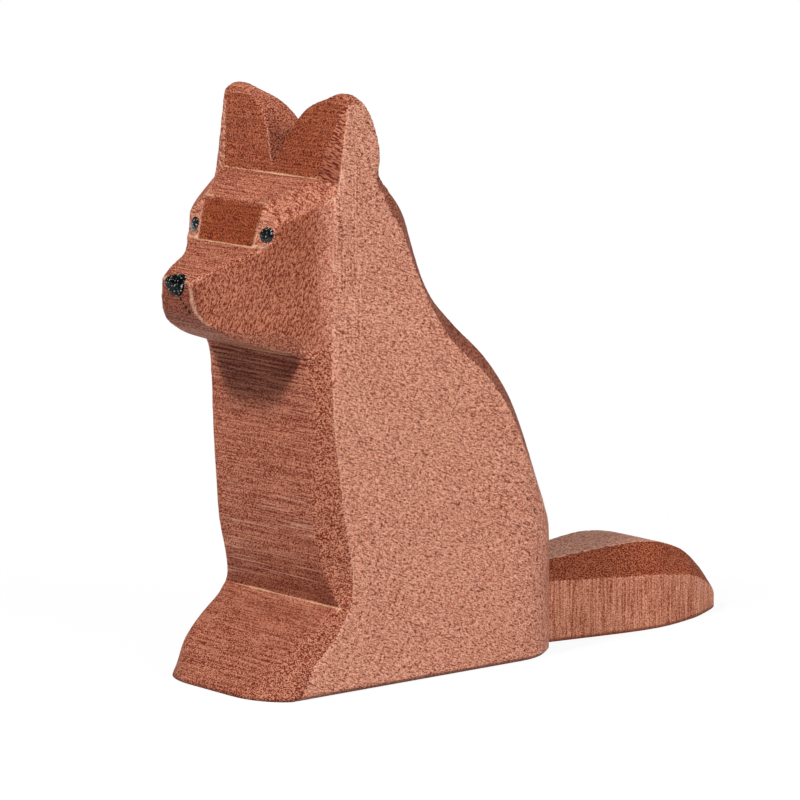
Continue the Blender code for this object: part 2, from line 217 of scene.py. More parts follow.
# %% [markdown]
# ## Lights
#
# Three lamps do the work. A wide soft box on the dog's left makes that broad side the brightest face.
# A small one in front, halfway up the sky, gives the crisp shadow that the muzzle throws on the
# throat. A weak wide one above and behind lifts the back and the tail. Each says how bright it makes
# a white card that faces it, and its power follows from that and its distance.

# %% Lights
LAMP_DISTANCE = 0.9
LIT_MIDDLE = Vector((0, 0, 0.04))    # the lamps look at the middle of the dog


def softbox(name, direction, width, brightness):
    """A square lamp that makes a white card in the middle this bright."""
    lamp = bpy.data.lights.new(name, 'AREA')
    lamp.shape = 'SQUARE'
    lamp.size = width
    lamp.energy = brightness * (pi * LAMP_DISTANCE) ** 2
    box = bpy.data.objects.new(name, lamp)
    aim = Vector(direction).normalized()
    turn = aim.to_track_quat('Z', 'Y').to_matrix().to_4x4()
    box.matrix_world = Matrix.Translation(LIT_MIDDLE + aim * LAMP_DISTANCE) @ turn
    scene.collection.objects.link(box)
    return box


boxes = [softbox("side_light", (0.94, 0.20, 0.32), 0.5, 0.595),
         softbox("front_light", (0.13, -0.72, 0.71), 0.12, 0.99),
         softbox("top_light", (0.0, 0.5, 0.9), 0.5, 0.21)]
print("lights:", {box.name: round(box.data.energy, 2) for box in boxes})

# %% [markdown]
# ## Reading the solids
#
# Everything that follows asks two questions about the sharp solids: which way does the nearest face
# look, and how far is the nearest edge? The first tells a planed side from a sawn end. The second
# finds the corners, which wear pale, and the creases, which stay sharp. Two search trees answer
# quickly: one over the faces, and one over points set close together along the edges.

# %% Faces and edges of the solids
EDGE_STEP = 0.15 * MM
SHARP = radians(13)
WELD, SLIVER = 0.001 * MM, 0.0005 * MM   # what is closer is one point, or no edge


def merged(node):
    """A copy of a packed node as one connected mesh, for building from and for measuring on."""
    bm = bmesh.new()
    bm.from_mesh(frame["nodes"][node].data)
    bmesh.ops.remove_doubles(bm, verts=bm.verts[:], dist=WELD)
    bmesh.ops.dissolve_degenerate(bm, edges=bm.edges[:], dist=SLIVER)
    return bm


def edge_points(bm, convex):
    """A search tree of points along the solid's outward or inward corners."""
    points = []
    for edge in bm.edges:
        if len(edge.link_faces) == 2 and edge.calc_face_angle() > SHARP and edge.is_convex == convex:
            a, b = (vert.co for vert in edge.verts)
            count = int((b - a).length / EDGE_STEP) + 1
            points += [a.lerp(b, i / count) for i in range(count + 1)]
    tree = KDTree(len(points))
    for i, point in enumerate(points):
        tree.insert(point, i)
    tree.balance()
    print(len(points), "points along", "corners" if convex else "creases")
    return tree


def near(tree, place, reach):
    """1 on an edge, falling to nothing about two reaches away."""
    return exp(-(tree.find(place)[2] / reach) ** 2)


body_solid, tail_solid = merged("body"), merged("tail")
body_faces, tail_faces = BVHTree.FromBMesh(body_solid), BVHTree.FromBMesh(tail_solid)
body_corners, body_creases = edge_points(body_solid, True), edge_points(body_solid, False)
tail_corners = edge_points(tail_solid, True)

# %% [markdown]
# ## Softened wood
#
# The solids have knife-sharp edges, and a real carving has few: sandpaper rounds the corners. A bevel
# would trip over the small faces that the cuts left behind. A remesh does better: it skins the whole
# solid with small even quads that still follow its sharp edges, and a few rounds of smoothing then
# round them, as fingers and sandpaper would. Sandpaper doesn't reach into the creases, so these are
# left alone, and so is the rim of the base. The foot, the muzzle and the corners of the jaw get more
# rounds.

# %% Skin the solids with even quads
BODY_DEPTH, TAIL_DEPTH = 8, 7
MARGIN = 0.85            # share of the skin's grid that the solid fills


def skinned(name, solid, depth):
    """A new object, and a bmesh of even quads all over the solid."""
    block = bpy.data.objects.new(name, bpy.data.meshes.new(name))
    solid.to_mesh(block.data)
    scene.collection.objects.link(block)
    skin = block.modifiers.new("skin", 'REMESH')
    skin.mode = 'SHARP'
    skin.octree_depth = depth
    skin.scale = MARGIN
    graph = bpy.context.evaluated_depsgraph_get()
    quads = bpy.data.meshes.new_from_object(block.evaluated_get(graph), depsgraph=graph)
    block.modifiers.remove(skin)
    bm = bmesh.new()
    bm.from_mesh(quads)
    bpy.data.meshes.remove(quads)
    return block, bm


body, body_mesh = skinned("carved_body", body_solid, BODY_DEPTH)
tail, tail_mesh = skinned("carved_tail", tail_solid, TAIL_DEPTH)
print("quads:", len(body_mesh.faces), "on the body and", len(tail_mesh.faces), "on the tail")

# %% Sand the edges
SOFTENING = 0.5
RIM = 0.7 * MM           # the rim of the base stays as it was sawn below this height
CREASE_GUARD = 0.5 * MM  # sandpaper comes no closer to a crease
FOOT_BACK, FOOT_TOP, FOOT_EDGE = -16.0 * MM, 11.2 * MM, 13.0 * MM
MUZZLE_BACK, MUZZLE_LOW, MUZZLE_TOP = -25.0 * MM, 56.5 * MM, 63.0 * MM
JAW_SIDE, JAW_FRONT, JAW_BACK, JAW_LOW, JAW_HIGH = 11, -20, -12, 46, 51.5   # corner of the jaw, in mm
JAW_ROOMS = (0, 0.5, 1.0, 1.5, 2.0, 2.5)    # each time the sandpaper reaches a little further, in mm
BODY_ROUNDS, JAW_ROUNDS, FOOT_ROUNDS, MUZZLE_ROUNDS, TAIL_ROUNDS = 2, 5, 30, 8, 3


def sand(bm, rounds, chosen):
    verts = [vert for vert in bm.verts if chosen(vert.co)]
    for turn in range(rounds):
        bmesh.ops.smooth_vert(bm, verts=verts, factor=SOFTENING, use_axis_x=True, use_axis_y=True,
                              use_axis_z=True)


def reachable(place):
    return place.z > RIM and body_creases.find(place)[2] > CREASE_GUARD


def on_foot(place):
    return place.y < FOOT_BACK and RIM < place.z < FOOT_TOP and place.x < FOOT_EDGE


def on_muzzle(place):
    return place.y < MUZZLE_BACK and MUZZLE_LOW < place.z < MUZZLE_TOP


def on_jaw_corner(place, room):
    side, ahead, height = abs(place.x) / MM, place.y / MM, place.z / MM
    beside = side > JAW_SIDE - room / 2 and JAW_FRONT - room < ahead < JAW_BACK
    return beside and JAW_LOW - room < height < JAW_HIGH + room


sand(body_mesh, BODY_ROUNDS, reachable)
for room in JAW_ROOMS:
    sand(body_mesh, JAW_ROUNDS, lambda place: on_jaw_corner(place, room))
sand(body_mesh, FOOT_ROUNDS, on_foot)
sand(body_mesh, MUZZLE_ROUNDS, on_muzzle)
sand(tail_mesh, TAIL_ROUNDS, lambda place: place.z > RIM)
print("sanded with a softening of", SOFTENING)

# %% [markdown]
# ## The hand of the carver
#
# Three last touches on the shape. No two sides of a hand-carved figure are quite alike: the temples are
# a little fuller than flat cuts would leave them, the muzzle is slimmer where it leaves the brow, and the
# edges of the chest, the foot and the lower back wander by half a millimetre. Points near such a place
# are pushed along a direction, less and less with distance. A knife cut then breaks the edge of the nape,
# and a faint slow noise takes away the machine-made flatness. The base stays flat on the floor.

# %% Pushes, the cut along the nape and slight unevenness
WAVES = 9 * MM           # width of the slow unevenness
WAVE_HEIGHT = 0.04 * MM
BASE_FADE = 3 * MM       # height over which pushes and unevenness set in
NAPE_START, NAPE_LOW, NAPE_TOP = -9 * MM, 60 * MM, 75 * MM
NAPE_WIDTH, NAPE_DEPTH = 1.5, 0.55   # width in mm, and depth as a share of it
NAPE_IN, NAPE_OUT, NAPE_SIDE = (63, 70), (75, 72.5), (8, 11)   # where the cut sets in and ends, in mm
# middle, way and reach of each push, in mm: temples, muzzle, far chest, far foot, lower back
PUSHES = [((10.5, -20.9, 67.2), (0.6, -0.5, 0.13), 5), ((-10.5, -20.9, 67.2), (-0.6, -0.5, 0.13), 5),
          ((6.6, -28.5, 61.3), (-0.5, 0, 0), 3), ((-6.6, -28.0, 61.6), (1.0, 0, -0.1), 3),
          ((-13, -16.8, 42), (0.4, 0.35, 0), 8), ((-13, -14.5, 20), (-0.3, -0.45, 0), 6),
          ((-13, -20, 7), (-0.35, -0.5, 0.3), 5),
          ((11, 22, 28), (-0.2, -0.6, 0), 8), ((-11, 22, 28), (0.2, -0.6, 0), 8)]


def between(low, high, value):
    """A smooth rise from 0 at low to 1 at high, or a fall where low is the larger."""
    share = min(1.0, max(0.0, (value - low) / (high - low)))
    return share * share * (3 - 2 * share)


def nape_cut(place):
    """How deep into the knife cut along the nape's edge a point lies, in millimetres."""
    if place.y < NAPE_START or not NAPE_LOW < place.z < NAPE_TOP:
        return 0.0
    width = NAPE_WIDTH * between(*NAPE_IN, place.z / MM) * between(*NAPE_OUT, place.z / MM)
    width *= between(*NAPE_SIDE, abs(place.x) / MM)
    return max(0.0, width - body_corners.find(place)[2] / MM)


def pushed(place):
    total = Vector((-NAPE_DEPTH * nape_cut(place) * MM, 0, 0)) * (1 if place.x > 0 else -1)
    for middle, way, reach in PUSHES:
        total += Vector(way) * MM * exp(-((place / MM - Vector(middle)).length / reach) ** 2)
    return total


def above_base(place):
    return min(1.0, max(0.0, place.z / BASE_FADE))


for vert in body_mesh.verts:
    vert.co += pushed(vert.co) * above_base(vert.co)
for piece, bm in ((body, body_mesh), (tail, tail_mesh)):
    bm.normal_update()
    for vert in bm.verts:
        vert.co += vert.normal * (WAVE_HEIGHT * above_base(vert.co) * noise.noise(vert.co / WAVES))
    bm.to_mesh(piece.data)
    bm.free()
    piece.data.shade_smooth()
    print(piece.name, 2 * len(piece.data.polygons), "triangles")

# %% [markdown]
# ## Which cut is where
#
# Stain behaves differently on each cut. The planed faces of the board stay pale. The band-sawn ends
# are end grain, which drinks stain and turns dark, most of all on the forehead and the ears. Knife
# cuts lie between. Shade is painted in as well: the shadow that the muzzle throws on the throat, and
# darker tones on the front of the muzzle, on the tops of muzzle and foot and above the crease of the
# foot. The rump turns darker low down, and the downward chamfer of the jaw and one facet of the right
# ear are painted paler, as painted light. Each small face of the skin asks the nearest face of the
# solid which way it looks, and keeps the answer as four numbers: planed, deep in stain, sawn across
# the grain, and dusky, which holds the painted shade. Face by face, the change from one cut to the
# next is crisp.

# %% Landmarks of the carving
BROW_LINE, BROW_HALF = 62.6 * MM, 6.5 * MM   # the forehead lies above the one and within the other
FOREHEAD_TOP, FOREHEAD_FADE = 69.6 * MM, 1.2 * MM
EAR_LINE, EAR_CREST = 72.2 * MM, -13.0 * MM
JAW_LINE = 49 * MM
MUZZLE_FRONT = -32.4 * MM
CHEEK_BACK = -15 * MM    # the knife cuts of the head end here
BACK_START = -9 * MM     # the chamfers of the back start here
FRONT_TURN = (0.78, 0.90)            # how far a face looks ahead, from not at all a front to wholly one
KNIFE_TURN, BOARD_TURN = 0.6, 0.95   # how far knife cuts and the sides of the board look sideways
RISING = 0.15            # how far the faces of the back look up


def keep(piece, name, domain, values):
    """Store four numbers for each face or point, where the piece's material can read them."""
    layer = piece.data.attributes.new(name, 'FLOAT_COLOR', domain)
    layer.data.foreach_set("color", [value for four in values for value in four])


def facing_front(normal):
    return between(*FRONT_TURN, -normal.y)


def on_cheek(place, normal):
    return JAW_LINE < place.z < EAR_LINE and place.y < CHEEK_BACK and abs(normal.x) > KNIFE_TURN


def on_back(place, normal):
    return place.y > BACK_START and normal.z > RISING


body_places = [face.center for face in body.data.polygons]
body_crisp = [body_faces.find_nearest(place)[1] for place in body_places]
print(sum(on_cheek(*pair) for pair in zip(body_places, body_crisp)), "faces on the cheeks")

# %% Cuts of the ears
OUTER_TURN, INNER_TURN = (0.15, 0.30), (0.15, 0.40)   # how far an ear's facets look sideways
TIP_TURN = (0.4, 0.6)    # how far the tips look up
NOTCH_TOP = (83, 80.5)   # the notch takes up stain from the one height to the other, in mm
FACET_FADE = (74, 79)    # the outer facet turns paler from the one height to the other, in mm
LEFT_EAR = (-4, 4)       # stain deepens a little from the right ear to the left one, in mm


def ear_cut(place, normal, planed):
    """How far a point on the ears is planed, deep in stain and dusky."""
    outward = normal.x if place.x > 0 else -normal.x
    ahead, height = facing_front(normal), place.z / MM
    outer = between(*OUTER_TURN, outward)
    front = (0.72 + 0.14 * between(*LEFT_EAR, place.x / MM) - 0.5 * outer) * ahead
    notch = 0.4 * between(*INNER_TURN, -outward) * between(*NOTCH_TOP, height)
    tip = 0.3 * between(*TIP_TURN, normal.z) if place.y < EAR_CREST else 0.0
    deep = max(front, notch, tip)
    dusky = (0.85 - 0.8 * between(*FACET_FADE, height)) * ahead * outer * (place.x > 0)
    # painted light: the outer facet of the right ear, which the lamps leave in shade, is made paler than
    # the left one's
    if place.x < 0 and normal.y < 0:
        planed = max(planed, 0.5 * outer)
        deep *= 1 - planed
    return planed, deep, dusky


print(sum(place.z > EAR_LINE for place in body_places), "faces on the ears")

# %% Cuts of the head
CHEEK_FADE = (CHEEK_BACK - 5.5 * MM, CHEEK_BACK - 1.5 * MM)   # the cheek runs out into the side here
TEMPLE = (56 * MM, 68 * MM)   # the cheek takes more stain from the one height to the other


def head_cut(place, normal, planed):
    """How far a point between jaw and ears is planed, deep in stain and dusky."""
    ahead, deep, dusky = facing_front(normal), 0.0, 0.0
    if place.z > BROW_LINE and abs(place.x) < BROW_HALF:
        deep = ahead * between(FOREHEAD_TOP, FOREHEAD_TOP - FOREHEAD_FADE, place.z)
    elif place.z > BROW_LINE:
        planed = max(planed, 0.25 * ahead)
    if on_cheek(place, normal) and abs(normal.x) < BOARD_TURN:
        planed = max(planed, 0.8 * between(*CHEEK_FADE, place.y))
        deep = (0.28 + 0.3 * between(*TEMPLE, place.z)) * (1 - planed)
        dusky = 0.15 * (1 - planed)
    return planed, deep, dusky


print(sum(JAW_LINE < place.z <= EAR_LINE for place in body_places), "faces between jaw and ears")

# %% Painted shade
# painted shade: the lower front of the muzzle, the muzzle's shadow on the throat, the foot, the top of
# the muzzle and the chest above the crease of the foot
CHIN = (59, 57.5)        # the front of the muzzle darkens from the one height to the other, in mm
THROAT_HALF, THROAT_SHADE = 9 * MM, (40, 44)
INSTEP = (-25, -19)      # the top of the foot darkens towards the chest, in mm
CREASE_SHADE_HEIGHTS, CREASE_SHADE_LEFT = (21, 13), (5, 9)   # above the crease of the foot, and more on the left, in mm
UPWARDS = 0.5            # how far the tops of muzzle and foot look up


def painted_shade_at(place, normal, planed):
    """How much painted shade darkens a point on the muzzle, under the chin, on the foot and above it."""
    ahead, height = facing_front(normal), place.z / MM
    dusky = between(MUZZLE_FRONT + MM, MUZZLE_FRONT - MM, place.y) * between(*CHIN, height)
    if place.z < JAW_LINE and abs(place.x) < THROAT_HALF:
        dusky = max(dusky, 0.35 * ahead * between(*THROAT_SHADE, height))
    if place.z < FOOT_TOP or place.y < MUZZLE_BACK and normal.z > UPWARDS:
        dusky = max(dusky, 0.22 * (1 - planed))
    if place.z < FOOT_TOP:
        dusky += 0.12 * between(*INSTEP, place.y / MM) * max(normal.z, 0)
    elif place.y < 0 and place.z < JAW_LINE:
        shade_above_crease = (0.75 + 0.25 * between(*CREASE_SHADE_LEFT, place.x / MM)) * ahead
        dusky = max(dusky, shade_above_crease * between(*CREASE_SHADE_HEIGHTS, height))
    return dusky


# how high the painted shade above the crease of the foot reaches
print("painted shade reaches up to", CREASE_SHADE_HEIGHTS[0], "mm above the floor")

# %% Cuts of the whole body
PLANED_TURN, SAWN_TURN = (0.88, 0.97), (0.6, 0.3)   # how far planed and sawn faces look sideways
SANDED_SIDE, SANDED_TOP = (7, 10), (46, 36)         # rear corners sanded like the sides, in mm
CHAMFER_FRONT, CHAMFER_BACK, CHAMFER_TOP = -30 * MM, -17 * MM, 52 * MM   # pale chamfer of the jaw
CHAMFER_TURN = -0.25     # it looks down at least this far
NAPE_SHOWS = 0.15        # depth in mm from which the cut along the nape bares other wood
BACK_TURN = (0.3, 0.45)  # how far the chamfers of the back look sideways
RUMP_BACK, RUMP_LOW = (19, 26.5), (32, 16)          # where the rump darkens, in mm


def body_cut(place, normal):
    """How far a point is planed, deep in stain, sawn across the grain, and dusky, painted light and shade
    included.
    """
    corner = between(*SANDED_SIDE, abs(place.x) / MM) * between(*SANDED_TOP, place.z / MM)
    planed = between(*PLANED_TURN, normal.x ** 2 + (max(normal.y, 0) * corner) ** 2)
    deep, dusky = 0.0, 0.0
    if place.z > EAR_LINE:
        planed, deep, dusky = ear_cut(place, normal, planed)
    elif place.z > JAW_LINE:
        planed, deep, dusky = head_cut(place, normal, planed)
    # painted light: the downward chamfer of the jaw is made paler, as if lit by light bounced up from the
    # floor
    if place.z < CHAMFER_TOP and CHAMFER_FRONT < place.y < CHAMFER_BACK and normal.z < CHAMFER_TURN:
        planed = max(planed, 0.35)
    # painted shade under the chin, on the muzzle, on the foot and above its crease
    dusky = max(dusky, painted_shade_at(place, normal, planed))
    if nape_cut(place) > NAPE_SHOWS:
        planed, dusky = 0.1, 0.7
    elif on_back(place, normal):
        dusky = 0.6 * between(*BACK_TURN, abs(normal.x)) * (1 - planed)
    elif place.y > BACK_START:
        dusky = max(dusky, 0.6 * between(*RUMP_BACK, place.y / MM) * between(*RUMP_LOW, place.z / MM))
    sawn = between(*SAWN_TURN, abs(normal.x)) * (1 - planed)
    return planed, deep, sawn, dusky


# these values carry painted shade in the dusky share, and painted light in the planed share of the jaw's
# chamfer and the right ear's outer facet
body_cuts = [body_cut(place, crisp) for place, crisp in zip(body_places, body_crisp)]
keep(body, "cuts", 'FACE', body_cuts)
print("planed share of the body:", round(sum(cut[0] for cut in body_cuts) / len(body_cuts), 2))

# %% [markdown]
# ## Marks of the tools
#
# Each tool leaves lines of its own. The band saw rules the chest from side to side, most of all near
# the throat. The knife leaves short strokes on the cheeks and slanting scratches on the facets beside
# the brow, on the ears and along the back. Sandpaper leaves upright streaks, beside the head and at the
# rump. Four more numbers for each face say how strong they are. The lines themselves come later, in
# the material.

# %% Tool marks of the body
THROAT_LOW = 37 * MM     # saw marks grow stronger from here up to the jaw
SAWN_FRONT, CUT_FRONT, BROW_TURN = -0.8, -0.3, 0.15   # which way sawn fronts and the brow's facets look
FACET_FRONT, FACET_EDGE = -0.78, 9 * MM               # where the outer facets of the ears are
RUMP_START, RUMP_FULL = 19 * MM, 27 * MM              # upright streaks grow stronger between these
HEAD_LOW, HEAD_TOP = 48 * MM, 74 * MM
HEAD_STREAKS_START, HEAD_STREAKS_END = (-18, -16.5), (-11, -12.5)   # from front to back, in mm


def scratched_at(place, normal, knife):
    """How strong slanting scratches are: most on the outer facets of the ears."""
    outer = place.x * normal.x > 0 and abs(place.x) > FACET_EDGE and normal.y < FACET_FRONT
    if place.z > EAR_LINE and outer:
        return 1.9
    beside_brow = place.z > BROW_LINE and abs(place.x) > BROW_HALF and abs(normal.x) > BROW_TURN
    if beside_brow and normal.y < CUT_FRONT and not on_cheek(place, normal):
        return 1.0
    return 1.4 * knife * on_back(place, normal)


def streaked_at(place):
    """How strong upright streaks are, beside the head and at the rump."""
    if HEAD_LOW < place.z < HEAD_TOP:
        return 0.7 * between(*HEAD_STREAKS_START, place.y / MM) * between(*HEAD_STREAKS_END, place.y / MM)
    return 1.4 * between(RUMP_START, RUMP_FULL, place.y)


def body_mark(place, normal, cut):
    """How strong saw lines, knife strokes, slanting scratches and upright streaks are at a point."""
    planed, _, sawn, _ = cut
    knife = max(0.0, 1 - planed - sawn)
    under_jaw = place.z < JAW_LINE
    throat = between(THROAT_LOW, JAW_LINE, place.z) if normal.y < SAWN_FRONT and under_jaw else 0.0
    lower = knife * under_jaw * (not on_back(place, normal))
    return (0.5 * max(sawn, lower) + 0.5 * throat, knife * on_cheek(place, normal),
            scratched_at(place, normal, knife), streaked_at(place) * planed)


keep(body, "marks", 'FACE', [body_mark(place, crisp, cut)
                             for place, crisp, cut in zip(body_places, body_crisp, body_cuts)])
print("tool marks kept for", len(body_cuts), "faces")

# %% [markdown]
# ## Worn corners and bare creases
#
# Hands and sandpaper rub the stain off corners, and it hardly reaches into a crease. A thin pale line
# runs along both. It is finer than a face of the skin, so these numbers are kept for points, and shade
# smoothly between them. The rim of the base is darkened by a painted shadow, where it meets the
# floor, and a blunt tooth of the saw scored a few long lines low on the chest.

# %% Worn corners and creases of the body
FAINT, FAINT_REACH, CREASE_REACH = 0.25, 0.22, 0.24   # reaches in mm
# low and high corner of each box, strength and reach, in mm
RUBBED = [((12.8, -20, 4), (15, -10, 47), 0.9, 0.17),        # front edges of the board
          ((8, -20.5, 15), (11, -15, 47), 0.5, 0.18),        # edges of the chest
          ((2, -36, 52.5), (7.5, -29, 60), 0.8, 0.5),        # front of the muzzle
          ((0, -24, 46.5), (10.2, -18.5, 49.6), 1.0, 0.4),   # jaw, near the throat
          ((0, -28, 48.5), (10.2, -24, 50.8), 0.9, 0.3),     # jaw, near the chin
          ((13, -18, 70), (15, -12, 82.4), 0.9, 0.2),        # outer edges of the ears
          ((0.3, -20, 73), (8, -12, 83), 0.8, 0.18),         # edges of the notch between them
          ((5, -27, 60), (14, -15, 71), 1.0, 0.3),           # brow and temples
          ((4, -33, 58), (9, -24, 64), 0.7, 0.26)]           # top edges of the muzzle
BLENDED = [((8, -30, 46), (15, -10, 54)), ((10.6, -19, 69), (15, -12, 74))]   # creases that stay dark
SCORED_FROM, SCORED_TO, CHEST_BACK = (12, 15), (30, 26), -10 * MM             # heights in mm
# painted shadow along the rim of the base, where it meets the floor
BODY_RIM_SHADOW, TAIL_RIM_SHADOW = (0.5, 0.1), (0.6, 0.2)   # the rim darkens from the one height to the other, in mm


def within(place, low, high):
    spot = (abs(place.x) / MM, place.y / MM, place.z / MM)
    return all(a < value < b for a, value, b in zip(low, spot, high))


def rubbed_at(place):
    """How much a corner of the body was rubbed: a little everywhere, and more in a few places."""
    away = body_corners.find(place)[2] / MM
    bands = [strength * exp(-(away / reach) ** 2)
             for low, high, strength, reach in RUBBED if within(place, low, high)]
    return max([FAINT * exp(-(away / FAINT_REACH) ** 2), *bands])


def bare_at(place):
    """How pale a crease is: not at all where two knife cuts run into each other."""
    if any(within(place, *box) for box in BLENDED):
        return 0.0
    return near(body_creases, place, CREASE_REACH * MM)


def body_edge(place):
    """How rubbed, bare, dark with painted shadow at the rim and scored by the saw a point is."""
    height = place.z / MM
    scored = between(*SCORED_FROM, height) * between(*SCORED_TO, height) * (place.y < CHEST_BACK)
    # the third value is the painted shadow along the rim of the base
    return rubbed_at(place), bare_at(place), 0.6 * between(*BODY_RIM_SHADOW, height), scored


keep(body, "edges", 'POINT', [body_edge(vert.co) for vert in body.data.vertices])
print("rubbed places:", len(RUBBED))

# %% Cuts, marks and edges of the tail
TAIL_SIDE, TAIL_TOP = (0.40, 0.20), (0.85, 0.95)   # how far the tail's sides and its flat top look up
LEVEL = 0.05             # the flat top hardly looks sideways

# the flat top of the tail gets the planed share, and with it the tail's palest colour, a painted sheen of
# the bright room
cuts, marks = [], []
for face in tail.data.polygons:
    crisp = tail_faces.find_nearest(face.center)[1]
    side = between(*TAIL_SIDE, crisp.z)
    top = between(*TAIL_TOP, crisp.z) * (abs(crisp.x) < LEVEL)
    cuts.append((top, (1 - side) * (1 - top), 0, 0))
    marks.append((0, 0, 0, side))
keep(tail, "cuts", 'FACE', cuts)
keep(tail, "marks", 'FACE', marks)
# the third value of the edges is a painted shadow along the tail's lower rim
keep(tail, "edges", 'POINT', [(FAINT * near(tail_corners, vert.co, FAINT_REACH * MM), 0,
                               between(*TAIL_RIM_SHADOW, vert.co.z / MM), 0) for vert in tail.data.vertices])
print("chamfered share of the tail:", round(sum(cut[1] for cut in cuts) / len(cuts), 2))

# %% [markdown]
# ## Stained wood
#
# Wood is a solid, so its pattern should be one too: the same field of short fibres shows as dashes on
# the sides and as dots on the end grain, with no seam between. Noise stretched along the grain gives
# the flecks and the few longer cracks. Other stretched noises are the marks of the tools: saw lines
# from side to side, short strokes of the knife, slanting scratches and upright streaks. They all push
# one value up or down, and that value tints the stain from dark and red to pale and dusty, as the
# fibres in the wood do. The dusky share darkens it, partly as painted shade. The painted shadow at
# the rim, scored lines, corners and creases are laid over it last.

# %% Noise along the fibres
WAVE_TURN = pi / 10      # length of one wave of the Wave node, in its own units


def fibres(place, size, detail=2.0, roughness=0.55):
    """Noise about nought, with grains of this size in millimetres along X, Y and Z."""
    per_metre = [1 / (length * MM) for length in size]
    stretched = place.node("VectorMath", {"operation": 'MULTIPLY'}, {0: place, 1: per_metre})
    return place.node("TexNoise", values={"Vector": stretched, "Scale": 1.0, "Detail": detail,
                                          "Roughness": roughness}) - 0.5


def sharpened(pattern, width):
    """The same pattern about nought, with a steep step in place of its slow rise."""
    return pattern.ramp(-width, width) - 0.5


def wavy(place, axis, pitch, wander, wander_scale):
    """Waves about nought, this far apart along an axis, that wander to and fro."""
    return place.node("TexWave", {"bands_direction": axis},
                      {"Vector": place, "Scale": WAVE_TURN / pitch, "Distortion": wander, "Detail": 1.0,
                       "Detail Scale": wander_scale}, output=1) - 0.5


def channels(start, attribute):
    """The four values that an attribute keeps."""
    read = start.node("Attribute", {"attribute_name": attribute})
    parts = start.node("SeparateColor", values={0: read}).socket.node
    alpha = Tone(start.tree, read.socket.node.outputs["Alpha"])
    return [*(Tone(start.tree, parts.outputs[i]) for i in range(3)), alpha]


print("noise and attributes ready")

# %% Stained wood
WORN, CREASE = (0.80, 0.47, 0.33, 1), (0.82, 0.50, 0.29, 1)
DARK_FIBRE, PALE_FIBRE, FLECK = (0.40, 0.17, 0.08), (1.25, 1.25, 1.25), (0.22, 0.09, 0.05)
DUST = (0.85, 0.56, 0.42, 1)
# DUSK is the tone that the dusky share darkens towards, and that share holds the painted shade
DUSK, KNIFE = (0.62, 0.50, 0.46, 1), (0.92, 0.93, 0.95, 1)
# sizes of the patterns in mm along X, Y and Z, and the ways in which some of them are turned
MOTTLE, DOT, DASH, CRACK = (5, 9, 5), (0.18, 0.25, 0.18), (0.35, 0.90, 0.28), (0.5, 3, 0.3)
SAW_LINE, SCORE, STREAK = (8, 0.3, 0.22), (16, 0.5, 0.30), (0.28, 0.28, 7)
KNIFE_STROKE, SCRATCH = (0.14, 0.14, 0.55), (3, 0.3, 0.22)
SLANT, GRAIN, LEAN = (0, radians(-18), 0), (radians(23), 0, 0), (radians(15.6), radians(-9.8), 0)
SAW_PITCH = 0.7 * MM
RELIEF = 0.10 * MM


